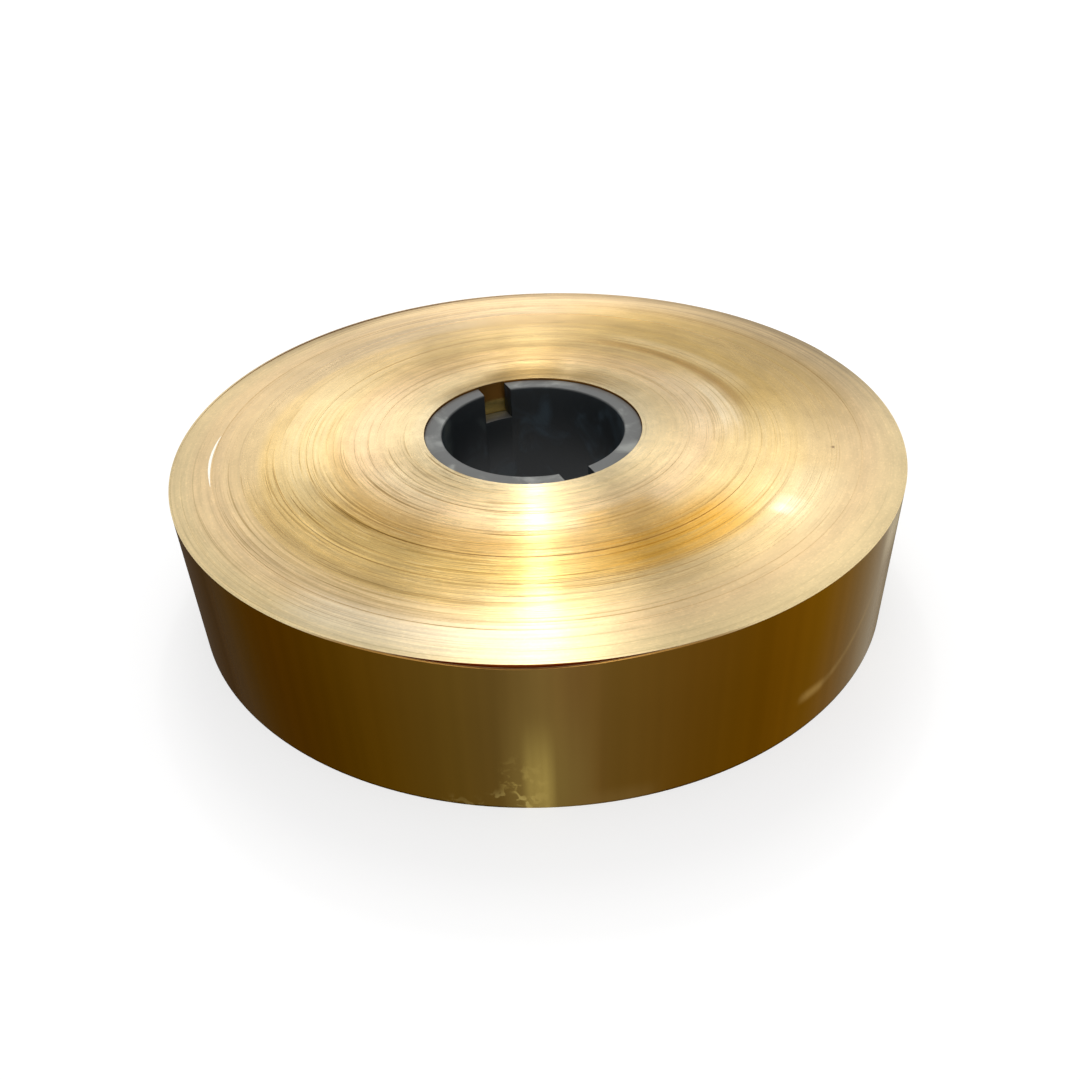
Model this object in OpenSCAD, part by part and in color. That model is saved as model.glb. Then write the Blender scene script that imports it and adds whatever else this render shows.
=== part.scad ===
// Roll of slit brass strip wound on a notched plastic core, lying flat with its
// axis upright. The origin is on the axis, at the level that the roll rests on.

/* [Strip] */
// Width of the slit strip, which is the height of the roll
strip_width = 63; // [50:1:120]
// Thickness of the strip
strip_thickness = 0.25; // [0.15:0.05:0.5]

/* [Roll] */
// Outside diameter of the wound roll
roll_diameter = 296; // [200:2:400]
// Turns wound level with each other, on average, which show as one band in the ends
turns_per_band = 5; // [4:1:12]
// Smallest step between one band and the next
band_step = 0.12; // [0.05:0.01:0.2]
// Highest band, counted in steps above the lowest one
band_levels = 6; // [2:1:10]
// Outermost turns, which have slipped down to the lowest level
slipped_turns = 2; // [2:1:6]
// Turns in each loose line, wound slack and sunk to the lowest level
loose_turns = 2; // [1:1:2]

/* [Core] */
// Bore of the core, for a 3 inch mandrel
core_bore = 76.2; // [50:0.1:110]
// Wall of the core tube
core_wall = 7.4; // [4:0.1:12]
// How far each rim of the core lies inside the end of the roll
core_inset = 0.8; // [0.2:0.1:3]
// Bevel round each mouth of the bore
mouth_bevel = 0.6; // [0.2:0.1:1.5]
// Gap between the core and the first turn, which is wound on tight
winding_gap = 0.05; // [0:0.01:0.2]

/* [Key notches] */
// Width of each notch for a mandrel's key
notch_width = 12.7; // [6:0.1:20]
// Depth of each notch along the core
notch_depth = 14; // [6:0.5:20]

/* [Hidden] */
$fn = 180;
brass = [0.86, 0.71, 0.42];
dark_plastic = [0.27, 0.28, 0.29];
over = 1; // how far a cutting shape runs past what it cuts

roll_r = roll_diameter / 2;
bore_r = core_bore / 2;
core_r = bore_r + core_wall;
core_length = strip_width - 2 * core_inset;
first_turn_r = core_r + winding_gap;

// The bands fill the roll from its bore out to the slipped turns. Each takes a
// whole number of turns, never under three, so that a loose line fits in any band.
bands_r = roll_r - slipped_turns * strip_thickness;
turn_count = round((bands_r - first_turn_r) / strip_thickness);
turn_pitch = (bands_r - first_turn_r) / turn_count;
band_count = round(turn_count / turns_per_band);
early_turns = rands(0, turns_per_band - 2, band_count, 5);
function first_turn(i) = i == 0 ? 0 : i == band_count ? turn_count
    : i * turns_per_band - floor(early_turns[i]);
function band_inner(i) = first_turn_r + first_turn(i) * turn_pitch;

// Sideways wander of the winding: two slow waves and a small jump at each band,
// in whole steps, with the lowest bands all at the level that the roll rests on.
jumps = rands(-1, 1, band_count, 26);
wave_middle = 0.5;
slow_wave = 0.34;
slow_waves = 1.6;
quick_wave = 0.2;
quick_waves = 5.3;
function wander(u) = wave_middle + slow_wave * sin(360 * slow_waves * u)
    + quick_wave * sin(360 * quick_waves * u);
function level(i) = round(band_levels * wander(i / band_count) + jumps[i]);
function rise(i) = band_step * min(band_levels, max(0, level(i)));

// Where the winding was stopped and started again, as shares of the outer radius.
loose_lines = [0.445, 0.63, 0.89];
function is_loose(i) = len([
    for (share = loose_lines)
        if (share * roll_r >= band_inner(i) && share * roll_r < band_inner(i + 1)) share
]) > 0;
function loose_width(i) = is_loose(i) ? loose_turns * turn_pitch : 0;

// Each band gives its inner and outer corner, at its own height. A loose line
// is a narrow sunk band at the inner side of its place.
function band_corners(i, lift) = concat(
    is_loose(i) ? [[band_inner(i), lift], [band_inner(i) + loose_width(i), lift]] : [],
    [[band_inner(i) + loose_width(i), rise(i) + lift],
     [band_inner(i + 1), rise(i) + lift]]);

// The slipped turns follow the last band, all but the very last one.
function end_corners(lift) = concat(
    [for (i = [0 : band_count - 1]) each band_corners(i, lift)],
    [[band_inner(band_count), lift], [roll_r - strip_thickness, lift]]);
function backwards(points) = [for (k = [len(points) - 1 : -1 : 0]) points[k]];

module wound_turns() {
    rotate_extrude()
        polygon(concat(end_corners(0), backwards(end_corners(strip_width))));
}

// The last turn closes on itself by one strip thickness, as a spiral does: two
// half rounds meet flush on one side and leave the strip's cut end on the other.
module half_round(radius, side) {
    intersection() {
        cylinder(r = radius, h = strip_width);
        translate([-radius - over, side > 0 ? 0 : -radius - over, 0])
            cube([2 * (radius + over), radius + over, strip_width]);
    }
}

// It reaches half a thickness into the turn below it, so that the two are one solid.
module last_turn() {
    difference() {
        union() {
            half_round(roll_r, 1);
            translate([-strip_thickness / 2, 0, 0])
                half_round(roll_r - strip_thickness / 2, -1);
        }
        translate([0, 0, -over])
            cylinder(r = roll_r - 1.5 * strip_thickness, h = strip_width + 2 * over);
    }
}

module strip_roll() {
    color(brass)
        union() {
            wound_turns();
            last_turn();
        }
}

module mouth_cutter() {
    cylinder(r1 = bore_r, r2 = bore_r + mouth_bevel + over, h = mouth_bevel + over);
}

// A bar across the bore cuts the two facing notches of one end.
module notch_cutter() {
    translate([-notch_width / 2, -core_r - over, 0])
        cube([notch_width, 2 * (core_r + over), notch_depth + over]);
}

module core() {
    color(dark_plastic)
        translate([0, 0, core_inset])
            difference() {
                cylinder(r = core_r, h = core_length);
                translate([0, 0, -over])
                    cylinder(r = bore_r, h = core_length + 2 * over);
                translate([0, 0, core_length - mouth_bevel])
                    mouth_cutter();
                translate([0, 0, mouth_bevel])
                    mirror([0, 0, 1])
                        mouth_cutter();
                translate([0, 0, core_length - notch_depth])
                    notch_cutter();
                translate([0, 0, notch_depth])
                    mirror([0, 0, 1])
                        notch_cutter();
            }
}

strip_roll();
core();
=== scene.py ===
# A roll of slit brass strip on its plastic core, lying flat on a pale studio floor.
# Settings are in millimetres and degrees, and mm turns lengths into metres. A direction is
# counted from +X towards +Y.
import math
import random

import bmesh
import bpy
from mathutils import Matrix, Quaternion, Vector, noise


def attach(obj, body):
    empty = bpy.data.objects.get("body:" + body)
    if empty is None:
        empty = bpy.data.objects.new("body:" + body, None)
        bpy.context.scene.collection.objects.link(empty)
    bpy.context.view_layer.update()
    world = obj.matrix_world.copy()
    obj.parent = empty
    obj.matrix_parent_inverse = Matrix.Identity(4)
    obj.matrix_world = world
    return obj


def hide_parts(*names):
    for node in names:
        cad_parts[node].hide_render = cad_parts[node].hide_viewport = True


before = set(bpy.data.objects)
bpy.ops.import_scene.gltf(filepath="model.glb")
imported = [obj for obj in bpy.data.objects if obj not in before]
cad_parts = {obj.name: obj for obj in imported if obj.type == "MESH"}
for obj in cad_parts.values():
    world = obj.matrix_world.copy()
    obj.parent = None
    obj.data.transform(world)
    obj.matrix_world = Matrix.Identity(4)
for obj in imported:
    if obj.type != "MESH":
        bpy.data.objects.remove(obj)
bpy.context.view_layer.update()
mm = 0.001
smooth = {"interpolation_type": "SMOOTHSTEP"}
print("the packed roll is loaded")


def hexColour(code):
    # an sRGB hex value as the linear colour that shaders take
    parts = [int(code[place:place + 2], 16) / 255 for place in (1, 3, 5)]
    linear = [
        part / 12.92 if part <= 0.04045 else ((part + 0.055) / 1.055) ** 2.4
        for part in parts
    ]
    return (*linear, 1.0)


def addNode(tree, kind, settings=None, links=None, output=None):
    # settings hold properties and plain input values, links hold the sockets that feed inputs.
    # Of a MapRange, inputs 1 and 2 are the range that it reads, and 3 and 4 what it gives.
    node = tree.nodes.new("ShaderNode" + kind)
    for name, value in (settings or {}).items():
        if isinstance(value, str) and value.startswith("#"):
            value = hexColour(value)
        if isinstance(name, int) or name in node.inputs:
            node.inputs[name].default_value = value
        else:
            setattr(node, name, value)
    for name, source in (links or {}).items():
        tree.links.new(source, node.inputs[name])
    live = [socket for socket in node.outputs if socket.enabled]
    return node.outputs[output] if output else live[0] if live else None


def fillRamp(socket, tones):
    # tones are places along the ramp with their colours, or with plain numbers
    ramp = socket.node.color_ramp
    while len(ramp.elements) < len(tones):
        ramp.elements.new(1.0)
    for stop, (place, tone) in zip(ramp.elements, tones):
        stop.position = place
        stop.color = hexColour(tone) if isinstance(tone, str) else (tone, tone, tone, 1)


def newMaterial(name):
    material = bpy.data.materials.new(name)
    material.use_nodes = True
    material.node_tree.nodes.clear()
    return material, material.node_tree


def outwards(tree):
    # the level direction from the roll's axis
    place = addNode(tree, "TexCoord", output="Object")
    flat = addNode(tree, "VectorMath", {"operation": "MULTIPLY", 1: (1, 1, 0)}, {0: place})
    return addNode(tree, "VectorMath", {"operation": "NORMALIZE"}, {0: flat})


def nearness(tree, direction):
    # 1 in one direction from the axis, and -1 in the opposite one
    turned = math.radians(direction)
    centre = {"operation": "DOT_PRODUCT", 1: (math.cos(turned), math.sin(turned), 0)}
    return addNode(tree, "VectorMath", centre, {0: outwards(tree)}, "Value")


def ringNoise(tree, arcs, spacing, detail):
    # noise drawn out round the roll: so many arcs in a round, so many mm apart
    facing = outwards(tree)
    turn = addNode(tree, "Attribute", {"attribute_name": "turnRadius"}, output="Fac")
    across = addNode(tree, "Math", {"operation": "DIVIDE", 1: spacing}, {0: turn})
    lift = addNode(tree, "CombineXYZ", {}, {"Z": across})
    reach = arcs / math.tau
    stretch = {"operation": "MULTIPLY_ADD", 1: (reach, reach, 0)}
    spread = addNode(tree, "VectorMath", stretch, {0: facing, 2: lift})
    return addNode(tree, "TexNoise", {"Scale": 1.0, "Detail": detail}, {"Vector": spread})


# A patch fades out round the roll, from its even heart to its rim, in half widths. The heart
# is scaled by the share of the patch that is even.
patchFade = {"rim": 1.4, "heart": 1.6}


def layPatch(tree, tone, level, streaks, patch, flat=0.3):
    # one patch of colour: direction and half its width in degrees, level and half its
    # breadth in mm, then its colour and strength. flat is the share of it that is even.
    direction, halfWidth, middle, halfBreadth, colour, strength = patch
    near = nearness(tree, direction)
    rim = math.cos(math.radians(patchFade["rim"] * halfWidth))
    heart = math.cos(math.radians(patchFade["heart"] * flat * halfWidth))
    along = addNode(tree, "MapRange", {**smooth, 1: rim, 2: heart}, {0: near})
    apart = addNode(tree, "Math", {"operation": "SUBTRACT", 1: middle}, {0: level})
    gap = addNode(tree, "Math", {"operation": "ABSOLUTE"}, {0: apart})
    fade = {**smooth, 1: halfBreadth, 2: flat * halfBreadth, 4: strength}
    across = addNode(tree, "MapRange", fade, {0: gap})
    amount = addNode(tree, "Math", {"operation": "MULTIPLY"}, {0: along, 1: across})
    amount = addNode(tree, "Math", {"operation": "MULTIPLY"}, {0: amount, 1: streaks})
    return addNode(tree, "Mix", {"data_type": "RGBA", 7: colour}, {0: amount, 6: tone})


# Brass strip, 65 parts copper, slit by round knives and wound on edge. The sheared edges are
# pale and satiny, and their lines run round the roll, so that a lamp spreads into a beam
# across them. Each turn is a quarter of a millimetre, too fine to show: lines are drawn at
# half a millimetre, and at a millimetre where the turns lie slack. Some rings are a deeper
# gold, partly the brass's own tone and partly painted reflection, and patches on them are
# painted deeper gold and paler, as reflections and highlights.
slitEdges = {
    "boreRadius": 45.5,
    "outerRadius": 148.0,
    # tone, roughness and strength of the lines, by share of the way from the bore outwards
    "ringTones": (
        (0.0, "#e4cfa2"),
        (0.1, "#e8ce9b"),
        (0.25, "#eccc9b"),
        (0.34, "#e4c388"),
        (0.4, "#d8b875"),
        (0.5, "#d8b66e"),
        (0.6, "#d4b474"),
        (0.66, "#d7bb86"),
        (0.76, "#e2c592"),
        (0.86, "#ecce9c"),
        (1.0, "#e8d19e"),
    ),
    "ringRoughness": (
        (0.0, 0.25),
        (0.25, 0.25),
        (0.4, 0.2),
        (0.62, 0.21),
        (0.72, 0.27),
        (0.85, 0.34),
        (1.0, 0.36),
    ),
    "ringLines": (
        (0.0, 0.8),
        (0.2, 0.8),
        (0.3, 0.9),
        (0.4, 1.0),
        (0.6, 1.0),
        (0.72, 0.8),
        (0.85, 0.5),
        (1.0, 0.3),
    ),
    # how far the ring tones and the patches wander in and out
    "toneWander": 16.0,
    "patchWander": 6.0,
    # noise drawn out round the roll: arcs in a round, mm apart, detail
    "fineTurns": (50, 0.4, 3.0),
    "turnGroups": (9, 0.6, 3.0),
    "slackTurns": (12, 1.1, 2.0),
    "wideRings": (4, 9.0, 2.0),
    "glintFlecks": (400, 0.6, 1.0),
    "clouds": (55, 5.0, 4.0),
    "belts": (5, 1.7, 2.0),
    # the turns lie loosest at the front on the left, so that the lines show most there: the
    # reaches are cosines of the angle from that direction
    "looseDirection": 216,
    "looseReach": {1: 0.5, 2: 0.97, 3: 0.3},
    "slackReach": {1: 0.6, 2: 0.97},
    "lineShade": "#97732a",
    "lineShine": "#f6dfaa",
    "groupShade": {1: 0.4, 2: 0.34, 4: 0.95},
    "slackShade": {1: 0.43, 2: 0.37, 4: 0.45},
    "fineShine": {1: 0.58, 2: 0.7, 4: 0.35},
    # the burrs: grains in a metre, and how far each kind of mottling lightens and darkens
    "grainScale": 1100.0,
    "grainTones": {1: 0.3, 2: 0.7, 3: 0.97, 4: 1.03},
    "glintFleckTones": {1: 0.56, 2: 0.74, 3: 1.0, 4: 1.1},
    "cloudTones": {1: 0.3, 2: 0.7, 3: 0.93, 4: 1.07},
    "beltTones": {1: 0.35, 2: 0.65, 3: -0.1, 4: 0.1},
    # the slipped turns' edges are painted darker where they have dropped, as the shade they lie in
    "slippedFrom": 147.1,
    "slippedEdgeShade": "#a87d40",
    "dipDirection": 244,
    "dipReach": {1: 0.86, 2: 0.94},
    "lineDepth": 0.013,
    "groupRelief": 1.6,
    "anisotropy": 1.0,
    # painted reflections and highlights on single rings, deeper gold and pale, with streaks in each
    "streaks": {1: 0.35, 2: 0.62, 3: 0.55},
    "paintedLightPatches": (
        (50, 68, 136, 34, "#9d896c", 0.95),
        (88, 50, 102, 30, "#aa967c", 0.4),
        (52, 24, 113, 12, "#a1824c", 0.6),
        (70, 46, 75, 16, "#b3945a", 0.8),
        (60, 34, 54, 13, "#a88c5a", 0.7),
        (26, 16, 52, 9, "#8c7039", 0.4),
        (66, 13, 60, 14, "#97793f", 0.7),
        (76, 44, 48, 8, "#93763f", 0.8),
        (70, 17, 50, 9, "#7d6332", 0.9),
        (14, 36, 112, 32, "#c7a55c", 0.8),
        (14, 30, 88.5, 4, "#b38a45", 0.9),
        (16, 22, 96, 6, "#f0d8a8", 0.5),
        (246, 48, 88, 12, "#d8b273", 0.9),
        (281, 22, 97, 17, "#d49d34", 0.9),
        (271, 11, 76, 12, "#dbaf5e", 0.8),
        (202, 36, 87, 12, "#c79e57", 0.7),
        (204, 33, 102, 16, "#d2b06a", 0.6),
        (206, 26, 116, 7, "#c9a454", 0.6),
        (156, 32, 95, 17, "#dcc593", 0.8),
        (318, 22, 91, 26, "#e0c58e", 0.8),
        (348, 20, 74, 15, "#fbe0b2", 0.8),
        (346, 12, 82, 6, "#fae6be", 0.6),
        (226, 14, 138, 12, "#fbeed2", 0.6),
        (62, 60, 148, 9, "#7e6a4c", 0.8),
        (64, 13, 78, 11, "#a2864f", 0.5),
        (198, 14, 66, 10, "#f8e2b6", 0.5),
    ),
    # a painted glint, in three soft layers, and one small nick
    "paintedGlintAndNick": (
        (304, 10, 115, 22, "#f4e2b4", 0.5),
        (300, 3, 113, 9, "#fff4d8", 0.45),
        (298.4, 1.3, 112.8, 5, "#fffbee", 0.35),
        (323.2, 0.4, 120.7, 1.1, "#5c3a1c", 0.9),
    ),
}


def makeSlitEdges():
    look = slitEdges
    material, tree = newMaterial("slit brass edges")
    place = addNode(tree, "TexCoord", output="Object")
    turn = addNode(tree, "Attribute", {"attribute_name": "turnRadius"}, output="Fac")
    fine = ringNoise(tree, *look["fineTurns"])
    group = ringNoise(tree, *look["turnGroups"])
    rings = ringNoise(tree, *look["wideRings"])

    # ring tones, whose borders wander a few turns in and out
    drift = look["toneWander"]
    wander = addNode(tree, "Math", {"operation": "MULTIPLY_ADD", 1: drift}, {0: rings, 2: turn})
    span = {1: look["boreRadius"] + drift / 2, 2: look["outerRadius"] + drift / 2}
    share = addNode(tree, "MapRange", span, {0: wander})
    tone = addNode(tree, "ValToRGB", {}, {0: share}, "Color")
    fillRamp(tone, look["ringTones"])
    rough = addNode(tree, "ValToRGB", {}, {0: share}, "Color")
    fillRamp(rough, look["ringRoughness"])

    # patches of painted reflection and highlight on single rings, whose borders wander less
    drift = look["patchWander"]
    level = addNode(tree, "Math", {"operation": "MULTIPLY_ADD", 1: drift}, {0: rings, 2: turn})
    level = addNode(tree, "Math", {"operation": "SUBTRACT", 1: drift / 2}, {0: level})
    streaks = addNode(tree, "MapRange", look["streaks"], {0: group})
    for patch in look["paintedLightPatches"]:
        tone = layPatch(tree, tone, level, streaks, patch)
    # the painted glint and the small nick
    for spot in look["paintedGlintAndNick"]:
        tone = layPatch(tree, tone, turn, streaks, spot, 0.0)

    # turns that sit a hair lower or higher than their neighbours: painted shade in the gaps, a
    # painted gleam on the edges, and a slight bump
    lines = addNode(tree, "ValToRGB", {}, {0: share}, "Color")
    fillRamp(lines, look["ringLines"])
    near = nearness(tree, look["looseDirection"])
    loose = addNode(tree, "MapRange", {**smooth, **look["looseReach"]}, {0: near})
    slack = addNode(tree, "MapRange", {**smooth, **look["slackReach"]}, {0: near})
    lines = addNode(tree, "Math", {"operation": "MULTIPLY"}, {0: lines, 1: loose})
    slackLines = addNode(tree, "Math", {"operation": "MULTIPLY"}, {0: lines, 1: slack})
    slackTurns = ringNoise(tree, *look["slackTurns"])
    for pattern, reach, strength, colour in (
        (group, "groupShade", lines, "lineShade"),
        (slackTurns, "slackShade", slackLines, "lineShade"),
        (fine, "fineShine", lines, "lineShine"),
    ):
        drawn = addNode(tree, "MapRange", {**smooth, **look[reach]}, {0: pattern})
        amount = addNode(tree, "Math", {"operation": "MULTIPLY"}, {0: drawn, 1: strength})
        tone = addNode(tree, "Mix", {"data_type": "RGBA", 7: look[colour]}, {0: amount, 6: tone})

    # the burrs of the cut: grain, short bright flecks that are painted glints, and clouds a few mm
    # wide
    grain = addNode(tree, "TexNoise", {"Scale": look["grainScale"], "Detail": 1.0}, {"Vector": place})
    mottle = addNode(tree, "MapRange", look["grainTones"], {0: grain})
    glintFlecks = ringNoise(tree, *look["glintFlecks"])
    clouds = ringNoise(tree, *look["clouds"])
    for pattern, tones in ((glintFlecks, {**smooth, **look["glintFleckTones"]}), (clouds, look["cloudTones"])):
        change = addNode(tree, "MapRange", tones, {0: pattern})
        mottle = addNode(tree, "Math", {"operation": "MULTIPLY"}, {0: mottle, 1: change})
    belts = ringNoise(tree, *look["belts"])
    belt = addNode(tree, "MapRange", look["beltTones"], {0: belts})
    belt = addNode(tree, "Math", {"operation": "MULTIPLY_ADD", 2: 1.0}, {0: belt, 1: loose})
    mottle = addNode(tree, "Math", {"operation": "MULTIPLY"}, {0: mottle, 1: belt})
    tone = addNode(tree, "VectorMath", {"operation": "SCALE"}, {0: tone, "Scale": mottle})

    # painted shade on the slipped turns' edges where they dip
    over = {"operation": "GREATER_THAN", 1: look["slippedFrom"]}
    slipped = addNode(tree, "Math", over, {0: turn})
    dip = nearness(tree, look["dipDirection"])
    dipped = addNode(tree, "MapRange", {**smooth, **look["dipReach"]}, {0: dip})
    slipped = addNode(tree, "Math", {"operation": "MULTIPLY"}, {0: slipped, 1: dipped})
    edge = {"data_type": "RGBA", 7: look["slippedEdgeShade"]}
    tone = addNode(tree, "Mix", edge, {0: slipped, 6: tone})

    weight = {"operation": "MULTIPLY_ADD", 1: look["groupRelief"]}
    relief = addNode(tree, "Math", weight, {0: group, 2: fine})
    relief = addNode(tree, "Math", {"operation": "MULTIPLY"}, {0: relief, 1: loose})
    depth = {"Strength": 1.0, "Distance": look["lineDepth"] * mm}
    bump = addNode(tree, "Bump", depth, {"Height": relief})
    satin = {"Metallic": 1.0, "Anisotropic": look["anisotropy"]}
    feeds = {"Base Color": tone, "Roughness": rough, "Normal": bump, "Tangent": place}
    shader = addNode(tree, "BsdfPrincipled", satin, feeds)
    addNode(tree, "OutputMaterial", {}, {"Surface": shader})
    return material


# The strip's face, cold rolled between polished rolls. It is close to a mirror and shows the
# dark room round the roll more than its own gold, so its tones here are bronzes, a painted
# reflection of that room. They change slowly round the roll, in upright bands, and pale
# painted highlights lie low on it.
rolledFaces = {
    # painted reflection tones round the roll, by share of a whole round from the direction of -X
    "roundReflections": (
        (0.0, "#48300a"),
        (0.069, "#492c05"),
        (0.083, "#4a2d05"),
        (0.1, "#4c3006"),
        (0.125, "#55390a"),
        (0.153, "#5b4315"),
        (0.17, "#5f481e"),
        (0.1825, "#71592b"),
        (0.194, "#6d5126"),
        (0.208, "#624719"),
        (0.236, "#60400f"),
        (0.264, "#613e09"),
        (0.278, "#6c4611"),
        (0.292, "#734d19"),
        (0.306, "#7b5728"),
        (0.32, "#82643b"),
        (0.345, "#a58b60"),
        (0.365, "#8f7c5c"),
        (0.42, "#8f7c5c"),
        (0.46, "#8a6c36"),
        (0.6, "#5b3f12"),
        (0.75, "#70521f"),
        (0.88, "#53360c"),
        (1.0, "#48300a"),
    ),
    # upright bands from the mill, about 5 mm apart, and finer streaks
    "bandScale": (200, 200, 3),
    "bandTones": {1: 0.3, 2: 0.7, 3: 0.95, 4: 1.06},
    "bandDepth": 0.01,
    # the face mirrors the paper that the roll shades, so its tone is painted lighter towards the
    # floor, and it is darker in its lowest millimetre: both go by the height in mm
    "paintedFloorLight": {1: 0.0, 2: 40.0, 3: 1.15, 4: 1.0},
    "lowestDarkening": {1: 0.3, 2: 0.9, 3: 0.4, 4: 1.0},
    # pale painted highlights with flakes, low on the face
    "flakeNoise": {"Scale": 230.0, "Detail": 4.0, "Roughness": 0.6, "Distortion": 0.8},
    "flakes": {1: 0.5, 2: 0.6},
    "paintedLightPatches": (
        (243.6, 2.6, 4, 24, "#ac9550", 0.7),
        (241.5, 2.4, 0, 10, "#b7a260", 0.8),
        (236, 3, 0, 6, "#86703c", 0.5),
    ),
    # smooth pale bars and streaks of painted highlight and reflection up the face
    "highlightStreaks": {1: 0.3, 2: 0.6, 3: 0.7},
    "highlightBars": (
        (246.5, 5, 6, 56, "#7d6733", 0.8),
        (245.4, 1.7, 9, 36, "#a8914c", 0.9),
        (255, 5, 1, 8, "#7d6233", 0.5),
        (303, 5, 8, 38, "#a08a62", 0.4),
        (309, 5, 2, 40, "#a59070", 0.4),
        (285.5, 2.2, 16.5, 4, "#c09a54", 0.5),
        (306, 4, 57, 16, "#e6d3a8", 0.8),
    ),
    # a faint pale line that curves up the face: the share of a round where it starts, how fast it
    # bends, and the patch along it
    "paleLineStart": 0.292,
    "paleLineBend": 0.09,
    "paleLine": (294, 9, 16, 3.0, "#b99a62", 0.32),
    # the turn below the slipped ones is red in their shade, and the faces of the bands
    # further in catch light from each other
    "shadedBelow": 147.2,
    "shadedRed": "#7c3a14",
    "insideBelow": 146.7,
    "insideGold": "#d9bd84",
    # the first turn, which shows through the core's notches, painted gold below and brown above,
    # as the reflections it shows there
    "firstTurnBelow": 46.0,
    "firstTurnReflectLow": "#ffdc80",
    "firstTurnReflectHigh": "#b8803a",
    "reflectionSplit": {1: 53.5, 2: 55.5},
    # how metallic it is round the roll: less metallic in two arcs, which darkens their
    # reflection as painted shade
    "grazingMetallic": (
        (0.0, 0.1),
        (0.04, 0.12),
        (0.07, 1.0),
        (0.34, 1.0),
        (0.355, 0.3),
        (0.37, 0.1),
        (0.42, 0.1),
        (0.46, 1.0),
        (0.92, 1.0),
        (0.96, 0.1),
    ),
    "edgeTint": "#bdb9b0",
    "roughness": 0.24,
    "anisotropy": 0.7,
}


def makeRolledFaces():
    look = rolledFaces
    material, tree = newMaterial("bright rolled brass")
    place = addNode(tree, "TexCoord", output="Object")
    turn = addNode(tree, "Attribute", {"attribute_name": "turnRadius"}, output="Fac")
    around = addNode(tree, "TexGradient", {"gradient_type": "RADIAL"}, {0: place}, "Fac")
    tone = addNode(tree, "ValToRGB", {}, {0: around}, "Color")
    fillRamp(tone, look["roundReflections"])

    upright = addNode(tree, "Mapping", {"Scale": look["bandScale"]}, {"Vector": place})
    bands = addNode(tree, "TexNoise", {"Scale": 1.0, "Detail": 3.0}, {"Vector": upright})
    height = addNode(tree, "SeparateXYZ", {}, {0: place}, "Z")
    level = addNode(tree, "Math", {"operation": "DIVIDE", 1: mm}, {0: height})
    # the mill bands, the painted light towards the floor and the darker foot
    for source, tones in ((bands, "bandTones"), (level, "paintedFloorLight"), (level, "lowestDarkening")):
        change = addNode(tree, "MapRange", look[tones], {0: source})
        tone = addNode(tree, "VectorMath", {"operation": "SCALE"}, {0: tone, "Scale": change})

    # painted highlights in pale bars up the face
    streaks = addNode(tree, "MapRange", look["highlightStreaks"], {0: bands})
    for bar in look["highlightBars"]:
        tone = layPatch(tree, tone, level, streaks, bar, 0.0)
    # the pale line lies level in a height that bends with the square of the way along it
    way = {"operation": "MULTIPLY_ADD", 1: 360.0, 2: -360.0 * look["paleLineStart"]}
    run = addNode(tree, "Math", way, {0: around})
    climb = addNode(tree, "Math", {"operation": "MULTIPLY"}, {0: run, 1: run})
    bend = {"operation": "MULTIPLY_ADD", 1: -look["paleLineBend"]}
    bentLevel = addNode(tree, "Math", bend, {0: climb, 2: level})
    tone = layPatch(tree, tone, bentLevel, streaks, look["paleLine"], 0.0)
    # flakes in the pale painted highlights low on the face
    flakePattern = addNode(tree, "TexNoise", look["flakeNoise"], {"Vector": place})
    flakes = addNode(tree, "MapRange", {**smooth, **look["flakes"]}, {0: flakePattern})
    for patch in look["paintedLightPatches"]:
        tone = layPatch(tree, tone, level, flakes, patch, 0.1)

    for edge, colour in (("shadedBelow", "shadedRed"), ("insideBelow", "insideGold")):
        within = addNode(tree, "Math", {"operation": "LESS_THAN", 1: look[edge]}, {0: turn})
        tone = addNode(tree, "Mix", {"data_type": "RGBA", 7: look[colour]}, {0: within, 6: tone})
    # the first turn's painted reflections, gold below and brown above
    below = {"operation": "LESS_THAN", 1: look["firstTurnBelow"]}
    first = addNode(tree, "Math", below, {0: turn})
    high = addNode(tree, "MapRange", {**smooth, **look["reflectionSplit"]}, {0: level})
    reflectedTones = {"data_type": "RGBA", 6: look["firstTurnReflectLow"], 7: look["firstTurnReflectHigh"]}
    notchTone = addNode(tree, "Mix", reflectedTones, {0: high})
    tone = addNode(tree, "Mix", {"data_type": "RGBA"}, {0: first, 6: tone, 7: notchTone})

    depth = {"Strength": 1.0, "Distance": look["bandDepth"] * mm}
    bump = addNode(tree, "Bump", depth, {"Height": bands})
    # less metallic in two arcs, a painted shade on the reflection
    metalShare = addNode(tree, "ValToRGB", {}, {0: around}, "Color")
    fillRamp(metalShare, look["grazingMetallic"])
    mirror = {
        "Specular IOR Level": 0.0,
        "Roughness": look["roughness"],
        "Anisotropic": look["anisotropy"],
        "Specular Tint": look["edgeTint"],
    }
    feeds = {"Base Color": tone, "Metallic": metalShare, "Normal": bump, "Tangent": place}
    shader = addNode(tree, "BsdfPrincipled", mirror, feeds)
    addNode(tree, "OutputMaterial", {}, {"Surface": shader})
    return material


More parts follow.
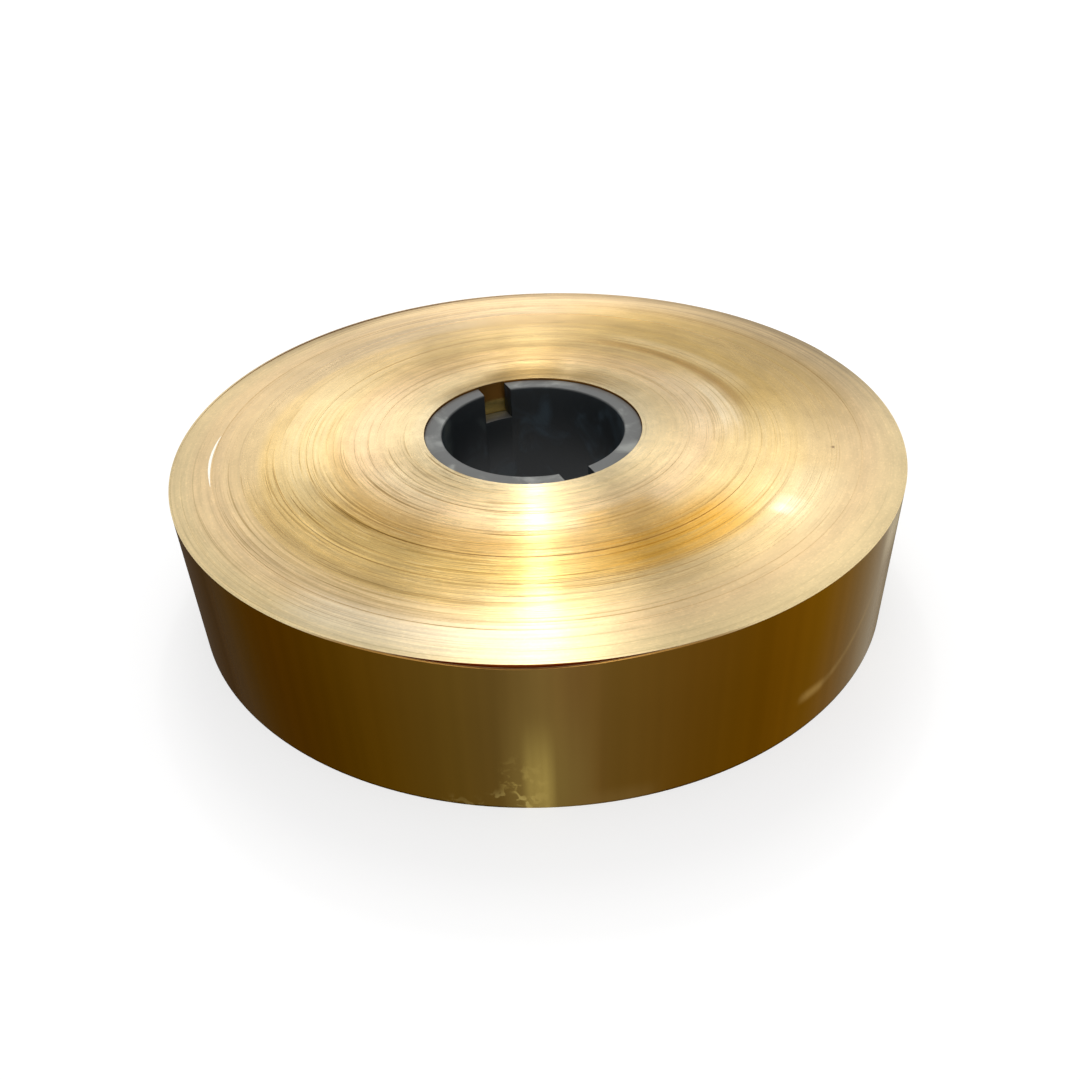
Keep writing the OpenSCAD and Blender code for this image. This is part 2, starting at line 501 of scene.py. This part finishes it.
# Extruded polypropylene core, sawn to length. It is near black and satin in the bore, and
# the saw has left the rims and the notch floors grey, with paler smears and small chips.
corePlastic = {
    "wall": "#0d1418",
    "wallSmear": "#2a373f",
    "sawn": "#5a5b59",
    "sawnSmear": "#8e908b",
    # shares of the sawn tone: painted shade in the gap beside the first turn, by radius in mm, and
    # painted shade on the notch floors, by height in mm
    "gapShade": {1: 44.8, 2: 45.4, 3: 1.0, 4: 0.35},
    "notchFloorShade": {1: 50.0, 2: 60.0, 3: 0.6, 4: 1.0},
    # the bore is paler high up on the left
    "paleUpperBore": (122, 30, 56, 22, "#34362f", 0.8),
    "smearNoise": {"Scale": 70.0, "Detail": 5.0, "Distortion": 0.8},
    "smears": {1: 0.47, 2: 0.72},
    "grainNoise": {"Scale": 1100.0, "Detail": 2.0},
    "grainDepth": 0.03,
    # faces count as sawn when they lie this flat
    "sawnFaces": {1: 0.5, 2: 0.95},
    "roughness": 0.48,
}


def makeCorePlastic():
    look = corePlastic
    material, tree = newMaterial("extruded polypropylene")
    place = addNode(tree, "TexCoord", output="Object")
    noises = addNode(tree, "TexNoise", look["smearNoise"], {"Vector": place})
    smear = addNode(tree, "MapRange", {**smooth, **look["smears"]}, {0: noises})
    height = addNode(tree, "SeparateXYZ", {}, {0: place}, "Z")
    level = addNode(tree, "Math", {"operation": "DIVIDE", 1: mm}, {0: height})
    walls = {"data_type": "RGBA", 6: look["wall"], 7: look["wallSmear"]}
    wall = addNode(tree, "Mix", walls, {0: smear})
    wall = layPatch(tree, wall, level, smear, look["paleUpperBore"])

    cuts = {"data_type": "RGBA", 6: look["sawn"], 7: look["sawnSmear"]}
    sawn = addNode(tree, "Mix", cuts, {0: smear})
    flat = addNode(tree, "VectorMath", {"operation": "MULTIPLY", 1: (1, 1, 0)}, {0: place})
    away = addNode(tree, "VectorMath", {"operation": "LENGTH"}, {0: flat})
    radius = addNode(tree, "Math", {"operation": "DIVIDE", 1: mm}, {0: away})
    # painted shade in the gap beside the first turn and on the notch floors
    for source, shade in ((radius, "gapShade"), (level, "notchFloorShade")):
        change = addNode(tree, "MapRange", look[shade], {0: source})
        sawn = addNode(tree, "VectorMath", {"operation": "SCALE"}, {0: sawn, "Scale": change})

    normal = addNode(tree, "NewGeometry", output="True Normal")
    upward = addNode(tree, "SeparateXYZ", {}, {0: normal}, "Z")
    steep = addNode(tree, "Math", {"operation": "ABSOLUTE"}, {0: upward})
    cut = addNode(tree, "MapRange", {**smooth, **look["sawnFaces"]}, {0: steep})
    tone = addNode(tree, "Mix", {"data_type": "RGBA"}, {0: cut, 6: wall, 7: sawn})
    grain = addNode(tree, "TexNoise", look["grainNoise"], {"Vector": place})
    depth = {"Strength": 1.0, "Distance": look["grainDepth"] * mm}
    bump = addNode(tree, "Bump", depth, {"Height": grain})
    satin = {"Roughness": look["roughness"]}
    shader = addNode(tree, "BsdfPrincipled", satin, {"Base Color": tone, "Normal": bump})
    addNode(tree, "OutputMaterial", {}, {"Surface": shader})
    return material


slitMaterial = makeSlitEdges()
rolledMaterial = makeRolledFaces()
coreMaterial = makeCorePlastic()
print("the brass and the plastic are mixed")


def newProfile(corners):
    # a bmesh with one outline in the plane of X and Z, which spin then turns. Each point
    # keeps its radius in mm, for the materials.
    shape = bmesh.new()
    turnLayer = shape.verts.layers.float.new("turnRadius")
    points = []
    for radius, height in corners:
        point = shape.verts.new((radius * mm, 0, height * mm))
        point[turnLayer] = radius
        points.append(point)
    for here, there in zip(points, points[1:] + points[:1]):
        shape.edges.new((here, there))
    return shape, turnLayer


def spinRound(shape, steps, angle=360, filled=False):
    # an outline closes into a whole round, and a filled one keeps its two ends
    if filled:
        bmesh.ops.contextual_create(shape, geom=shape.edges[:])
    bmesh.ops.spin(
        shape,
        geom=shape.faces[:] if filled else shape.verts[:] + shape.edges[:],
        cent=(0, 0, 0),
        axis=(0, 0, 1),
        angle=math.radians(angle),
        steps=steps,
        use_merge=not filled,
    )


# points nearer to each other than this become one
weldGap = 0.0005


def finishPiece(name, shape, node, materials, sharpAngle=28):
    # upright faces take the last material, round faces shade smooth, and steps stay sharp
    bmesh.ops.remove_doubles(shape, verts=shape.verts, dist=weldGap * mm)
    bmesh.ops.recalc_face_normals(shape, faces=shape.faces)
    for face in shape.faces:
        upright = abs(face.normal.z) < 0.5
        face.smooth = True
        face.material_index = len(materials) - 1 if upright else 0
    mesh = bpy.data.meshes.new(name)
    shape.to_mesh(mesh)
    shape.free()
    for material in materials:
        mesh.materials.append(material)
    mesh.set_sharp_from_angle(angle=math.radians(sharpAngle))
    piece = bpy.data.objects.new(name, mesh)
    bpy.context.scene.collection.objects.link(piece)
    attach(piece, "root")
    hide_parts(node)
    print(name, "has", len(mesh.polygons), "faces")
    return piece


# The wound body of the roll, inside its slipped outer turns. Going outwards a band of turns
# climbs a little, and the next one starts lower, so each step shows its face to the front.
woundBody = {
    "boreRadius": 45.55,
    "outerRadius": 147.0,
    "bottom": 0.0,
    "top": 63.0,
    "bandWidth": (0.75, 2.0),
    "climb": (0.0, 0.022),
    "jitter": 0.016,
    # the share of the bands that climb further, and by how much
    "tallBands": 0.06,
    "tallClimb": 0.05,
    # one slow wave of the winding: middle, height, waves across the roll, start
    "slowWave": (0.22, 0.13, 1.4, 0.2),
    # from this share of the way out the bands lie smoother
    "smoothFrom": 0.8,
    "smoothShare": 0.5,
    "looseLines": (65.8, 93.2, 131.7),
    "looseWidth": 0.5,
    "looseDepth": 0.1,
    "rimHeight": 0.34,
    # rings that are a little out of round, and bands that waver in height, both fading
    # towards the bore and the rim: noise across a round, and from ring to ring
    "ovalness": 0.6,
    "ovalNoise": (0.8, 1 / 30),
    "bandWaver": 0.06,
    "waverNoise": (1.6, 3.7),
    "fadeWidth": 15,
    "steps": 250,
    "seed": 4,
}


def windEnd(luck):
    # radius and height of each corner of one end, from the bore outwards
    body = woundBody
    middle, wave, waves, begin = body["slowWave"]
    corners = []
    radius = body["boreRadius"]
    while radius < body["outerRadius"]:
        outer = radius + luck.uniform(*body["bandWidth"])
        if body["outerRadius"] - outer < body["bandWidth"][0]:
            outer = body["outerRadius"]
        share = (radius - body["boreRadius"]) / (body["outerRadius"] - body["boreRadius"])
        slow = middle + wave * math.sin(math.tau * (waves * share - begin))
        roughness = body["smoothShare"] if share > body["smoothFrom"] else 1.0
        start = slow + luck.uniform(-1, 1) * body["jitter"] * roughness
        climb = luck.uniform(*body["climb"]) * roughness
        if luck.random() < body["tallBands"]:
            climb += body["tallClimb"] * roughness
        if outer == body["outerRadius"]:
            start, climb = body["rimHeight"], 0.0
        if any(radius <= line < outer for line in body["looseLines"]):
            low = max(start - body["looseDepth"], 0)
            corners += [(radius, low), (radius + body["looseWidth"], low)]
            radius += body["looseWidth"]
        corners += [(radius, start), (outer, start + climb)]
        radius = outer
    return corners


def makeWoundBody():
    body = woundBody
    luck = random.Random(body["seed"])
    upper = [(radius, body["top"] + height) for radius, height in windEnd(luck)]
    lower = [(radius, body["bottom"] + height) for radius, height in windEnd(luck)]
    shape, turnLayer = newProfile(lower + upper[::-1])
    bandLayer = shape.verts.layers.float.new("band")
    for count, point in enumerate(shape.verts):
        point[bandLayer] = count // 2
    spinRound(shape, body["steps"])
    ovalRound, ovalAcross = body["ovalNoise"]
    waverRound, waverAcross = body["waverNoise"]
    for point in shape.verts:
        radius = point[turnLayer]
        facing = Vector((point.co.x, point.co.y, 0)).normalized()
        edgeGap = min(radius - body["boreRadius"], body["outerRadius"] - radius)
        room = min(1.0, edgeGap / body["fadeWidth"])
        across = Vector((0, 0, radius * ovalAcross))
        oval = noise.noise(facing * ovalRound + across)
        across = Vector((0, 0, point[bandLayer] * waverAcross))
        waver = noise.noise(facing * waverRound + across)
        height = point.co.z + body["bandWaver"] * room * waver * mm
        point.co = facing * (radius + body["ovalness"] * room * oval) * mm
        point.co.z = max(height, 0.0)
    finishPiece("woundBody", shape, "strip_roll", [slitMaterial, rolledMaterial])


# The slipped turns round the outside, wound as one spiral whose cut end lies on the right.
# They have dropped at the front, and stand a little proud behind.
slippedTurns = {
    "outerRadius": 148.0,
    "pitch": 0.25,
    "thickness": 0.242,
    "turns": 4,
    "stepsPerTurn": 240,
    "top": 63.34,
    "dipDirection": 244.0,
    "dipWidth": 12.0,
    "dipDepth": 1.35,
    "proudDirection": 108.0,
    "proudWidth": 36.0,
    "proudHeight": 0.36,
}


def turnTop(angle):
    turns = slippedTurns
    height = turns["top"]
    for place, depth in (("dip", -turns["dipDepth"]), ("proud", turns["proudHeight"])):
        apart = (angle - turns[place + "Direction"] + 180) % 360 - 180
        height += depth * math.exp(-(apart / turns[place + "Width"]) ** 2)
    return height


def makeSlippedTurns():
    turns = slippedTurns
    outer = turns["outerRadius"]
    inner = outer - turns["thickness"]
    corners = [(inner, 0), (outer, 0), (outer, turns["top"]), (inner, turns["top"])]
    shape, turnLayer = newProfile(corners)
    steps = turns["stepsPerTurn"] * turns["turns"]
    spinRound(shape, steps, 360 * turns["turns"], filled=True)
    # each step round the spiral draws in by its share of a turn
    shape.verts.ensure_lookup_table()
    for count, point in enumerate(shape.verts):
        wound = count // len(corners) / turns["stepsPerTurn"]
        angle = 360 * wound
        facing = Vector((math.cos(math.radians(angle)), math.sin(math.radians(angle)), 0))
        radius = point[turnLayer] - turns["pitch"] * wound
        height = turnTop(angle % 360) * mm if point.co.z > 0 else 0.0
        point.co = facing * radius * mm
        point.co.z = height
        point[turnLayer] = radius
    finishPiece("slippedTurns", shape, "strip_roll", [slitMaterial, rolledMaterial])


# One inner turn stands a little proud for a short way on the left. Its edge is painted near
# white, as a highlight.
proudTurn = {
    "radius": 132.0,
    "thickness": 1.1,
    "foot": 62.9,
    "top": 63.6,
    "from": 155.0,
    "to": 173.0,
    # shares of its thickness and height that are left at its two ends
    "thinEnd": 0.12,
    "lowEnd": 0.5,
    "steps": 40,
}


def makeHighlightEdge():
    # the same brass, painted near white as a highlight on its edge
    material, tree = newMaterial("brass edge painted as a highlight")
    bright = {"Base Color": "#fffcf0", "Metallic": 1.0, "Roughness": 0.4}
    shader = addNode(tree, "BsdfPrincipled", bright)
    addNode(tree, "OutputMaterial", {}, {"Surface": shader})
    return material


def makeProudTurn():
    turn = proudTurn
    inner, foot, top = turn["radius"], turn["foot"], turn["top"]
    outer = inner + turn["thickness"]
    shape, turnLayer = newProfile([(inner, foot), (outer, foot), (outer, top), (inner, top)])
    turned = Matrix.Rotation(math.radians(turn["from"]), 3, "Z")
    bmesh.ops.rotate(shape, cent=(0, 0, 0), matrix=turned, verts=shape.verts)
    sweep = turn["to"] - turn["from"]
    spinRound(shape, turn["steps"], sweep, filled=True)
    # it rises from the end of the roll, leans out and sinks back into it
    for point in shape.verts:
        angle = math.degrees(math.atan2(point.co.y, point.co.x))
        share = min(max((angle - turn["from"]) / sweep, 0), 1)
        rise = math.sin(math.pi * share)
        thick = turn["thinEnd"] + (1 - turn["thinEnd"]) * rise
        tall = turn["lowEnd"] + (1 - turn["lowEnd"]) * rise
        radius = inner + (point[turnLayer] - inner) * thick
        height = foot + (point.co.z / mm - foot) * tall
        point.co = Vector((point.co.x, point.co.y, 0)).normalized() * radius * mm
        point.co.z = height * mm
    finishPiece("proudTurn", shape, "strip_roll", [makeHighlightEdge()])


makeWoundBody()
makeSlippedTurns()
makeProudTurn()
print("the strip is wound")


# The core: a tube with a bevel round each mouth and two facing notches in each rim.
coreTube = {
    "boreRadius": 38.1,
    "outerRadius": 45.5,
    "bottom": 0.8,
    "top": 62.2,
    "mouthBevel": 0.6,
    "notchWidth": 12.7,
    "notchDepth": 14.0,
    "cornerRound": 0.22,
    "roundSteps": 2,
    "roundedFrom": 40,
    "sharpFrom": 30,
    "steps": 200,
}


def makeCore():
    tube = coreTube
    bore, outer, bevel = tube["boreRadius"], tube["outerRadius"], tube["mouthBevel"]
    corners = [
        (outer, tube["bottom"]),
        (outer, tube["top"]),
        (bore + bevel, tube["top"]),
        (bore, tube["top"] - bevel),
        (bore, tube["bottom"] + bevel),
        (bore + bevel, tube["bottom"]),
    ]
    shape, _ = newProfile(corners)
    spinRound(shape, tube["steps"])
    core = finishPiece("coreTube", shape, "core", [coreMaterial], tube["sharpFrom"])

    # a bar across each end, half of it past the rim, cuts that end's two notches
    barSize = Vector((tube["notchWidth"], 3 * outer, 2 * tube["notchDepth"])) * mm
    cutters = []
    for rim in (tube["top"], tube["bottom"]):
        bar = bmesh.new()
        bmesh.ops.create_cube(bar, size=1.0)
        bmesh.ops.scale(bar, vec=barSize, verts=bar.verts)
        bmesh.ops.translate(bar, vec=(0, 0, rim * mm), verts=bar.verts)
        mesh = bpy.data.meshes.new("notchBar")
        bar.to_mesh(mesh)
        bar.free()
        cutter = bpy.data.objects.new("notchBar", mesh)
        bpy.context.scene.collection.objects.link(cutter)
        cutters.append(cutter)
        cut = core.modifiers.new("notches", "BOOLEAN")
        cut.operation = "DIFFERENCE"
        cut.solver = "EXACT"
        cut.object = cutter
    rounding = core.modifiers.new("cornerRound", "BEVEL")
    rounding.width = tube["cornerRound"] * mm
    rounding.segments = tube["roundSteps"]
    rounding.limit_method = "ANGLE"
    rounding.angle_limit = math.radians(tube["roundedFrom"])
    settled = core.evaluated_get(bpy.context.evaluated_depsgraph_get())
    finished = bpy.data.meshes.new_from_object(settled)
    core.modifiers.clear()
    core.data = finished
    finished.set_sharp_from_angle(angle=math.radians(tube["sharpFrom"]))
    for cutter in cutters:
        bpy.data.objects.remove(cutter)
    print("coreTube is notched, with", len(finished.polygons), "faces")


makeCore()


def seenDirectly(tree):
    # 1 where the camera, a mirror or a glass looks, and 0 for the light that falls on things
    amount = addNode(tree, "LightPath", output="Is Camera Ray")
    for ray in ("Is Glossy Ray", "Is Transmission Ray"):
        other = addNode(tree, "LightPath", output=ray)
        either = {"operation": "ADD", "use_clamp": True}
        amount = addNode(tree, "Math", either, {0: amount, 1: other})
    return amount


# A pale studio floor. It keeps the roll's shadow, and further off it turns into the white of
# the background for the camera and for the brass that mirrors it.
studioFloor = {
    "radius": 8000,
    "segments": 96,
    "paint": "#b4b4b4",
    "glowNear": 0.63,
    "glowFar": 0.98,
    "nearEdge": 250,
    "farEdge": 2500,
}


def makeFloor():
    settings = studioFloor
    shape = bmesh.new()
    size, segments = settings["radius"] * mm, settings["segments"]
    bmesh.ops.create_circle(shape, cap_ends=True, segments=segments, radius=size)
    mesh = bpy.data.meshes.new("studioFloor")
    shape.to_mesh(mesh)
    shape.free()
    floor = bpy.data.objects.new("studioFloor", mesh)
    bpy.context.scene.collection.objects.link(floor)
    material, tree = newMaterial("white studio paper")
    place = addNode(tree, "TexCoord", output="Object")
    away = addNode(tree, "VectorMath", {"operation": "LENGTH"}, {0: place})
    near, far = settings["nearEdge"] * mm, settings["farEdge"] * mm
    fade = {1: near, 2: far, 3: settings["glowNear"], 4: settings["glowFar"]}
    glow = addNode(tree, "MapRange", fade, {0: away})
    seen = seenDirectly(tree)
    strength = addNode(tree, "Math", {"operation": "MULTIPLY"}, {0: seen, 1: glow})
    light = addNode(tree, "Emission", {"Color": "#ffffff"}, {"Strength": strength})
    paper = addNode(tree, "BsdfDiffuse", {"Color": settings["paint"]})
    both = addNode(tree, "AddShader", {}, {0: light, 1: paper})
    addNode(tree, "OutputMaterial", {}, {"Surface": both})
    mesh.materials.append(material)


# Soft light from all round. It is plain white at the height of the eye, where the camera or
# the brass sees it, and the ceiling is a light grey.
roomLight = {
    "falling": 0.76,
    "eyeLevel": 1.0,
    "ceiling": 0.72,
    "ceilingFrom": 0.1,
    "ceilingTo": 0.3,
}


def makeWorld():
    world = bpy.data.worlds.new("studioRoom")
    bpy.context.scene.world = world
    world.use_nodes = True
    tree = world.node_tree
    tree.nodes.clear()
    room = roomLight
    direction = addNode(tree, "TexCoord", output="Generated")
    height = addNode(tree, "SeparateXYZ", {}, {0: direction}, "Z")
    rise = {1: room["ceilingFrom"], 2: room["ceilingTo"], 3: room["eyeLevel"], 4: room["ceiling"]}
    look = addNode(tree, "MapRange", rise, {0: height})
    strength = addNode(tree, "MapRange", {3: room["falling"]}, {0: seenDirectly(tree), 4: look})
    sky = addNode(tree, "Background", {"Color": "#ffffff"}, {"Strength": strength})
    addNode(tree, "OutputWorld", {}, {"Surface": sky})


# Square lamps behind the roll: direction and height in degrees, distance, size and watts.
lamps = {
    "highWindow": (66.4, 68, 1700, 400, 1.9),
    "rimWindow": (68.9, 60, 1700, 680, 3.5),
    "brightPane": (66.9, 60, 1700, 260, 0.5),
    "slit": (66.4, 57, 1700, 80, 1.4),
    "farSlit": (66.4, 23, 1700, 100, 0.05),
    "leftWindow": (76.4, 28, 1700, 400, 0.17),
    "middleWindow": (82.4, 25, 1700, 400, 0.38),
    "endWindow": (87.4, 27, 1700, 300, 0.1),
    "frontWindow": (48.4, 33, 1700, 400, 0.12),
    "rightWindow": (43.4, 36, 1700, 400, 0.45),
    "cornerWindow": (38.4, 42, 1700, 400, 0.44),
}


def makeLamps():
    for name, (direction, height, distance, size, watts) in lamps.items():
        light = bpy.data.lights.new(name, "AREA")
        light.shape = "SQUARE"
        light.size = size * mm
        light.energy = watts
        lamp = bpy.data.objects.new(name, light)
        bpy.context.scene.collection.objects.link(lamp)
        turn, tilt = math.radians(direction), math.radians(height)
        level = Vector((math.cos(turn), math.sin(turn), 0))
        towards = level * math.cos(tilt) + Vector((0, 0, math.sin(tilt)))
        lamp.location = towards * distance * mm
        lamp.rotation_euler = (-towards).to_track_quat("-Z", "Y").to_euler()


# The camera stands in front, a little above the roll, and leans a few degrees.
cameraView = {
    "place": (-146.7, -335.7, 263.0),
    "target": (-40.5, -71.8, 63.1),
    "lean": -3.325,
    "lens": 33.05,
    "sensor": 36,
    "shiftX": 0.0246,
    "clip": (10, 50000),
}


def makeCamera():
    view = cameraView
    data = bpy.data.cameras.new("camera")
    data.sensor_width = view["sensor"]
    data.lens = view["lens"]
    data.shift_x = view["shiftX"]
    data.clip_start, data.clip_end = (edge * mm for edge in view["clip"])
    camera = bpy.data.objects.new("camera", data)
    bpy.context.scene.collection.objects.link(camera)
    place, target = Vector(view["place"]) * mm, Vector(view["target"]) * mm
    lean = Quaternion((0, 0, 1), math.radians(view["lean"]))
    camera.location = place
    camera.rotation_euler = ((target - place).to_track_quat("-Z", "Y") @ lean).to_euler()
    bpy.context.scene.camera = camera


makeFloor()
makeWorld()
makeLamps()
makeCamera()
bpy.context.scene.view_settings.view_transform = "Standard"
print("the studio is lit")
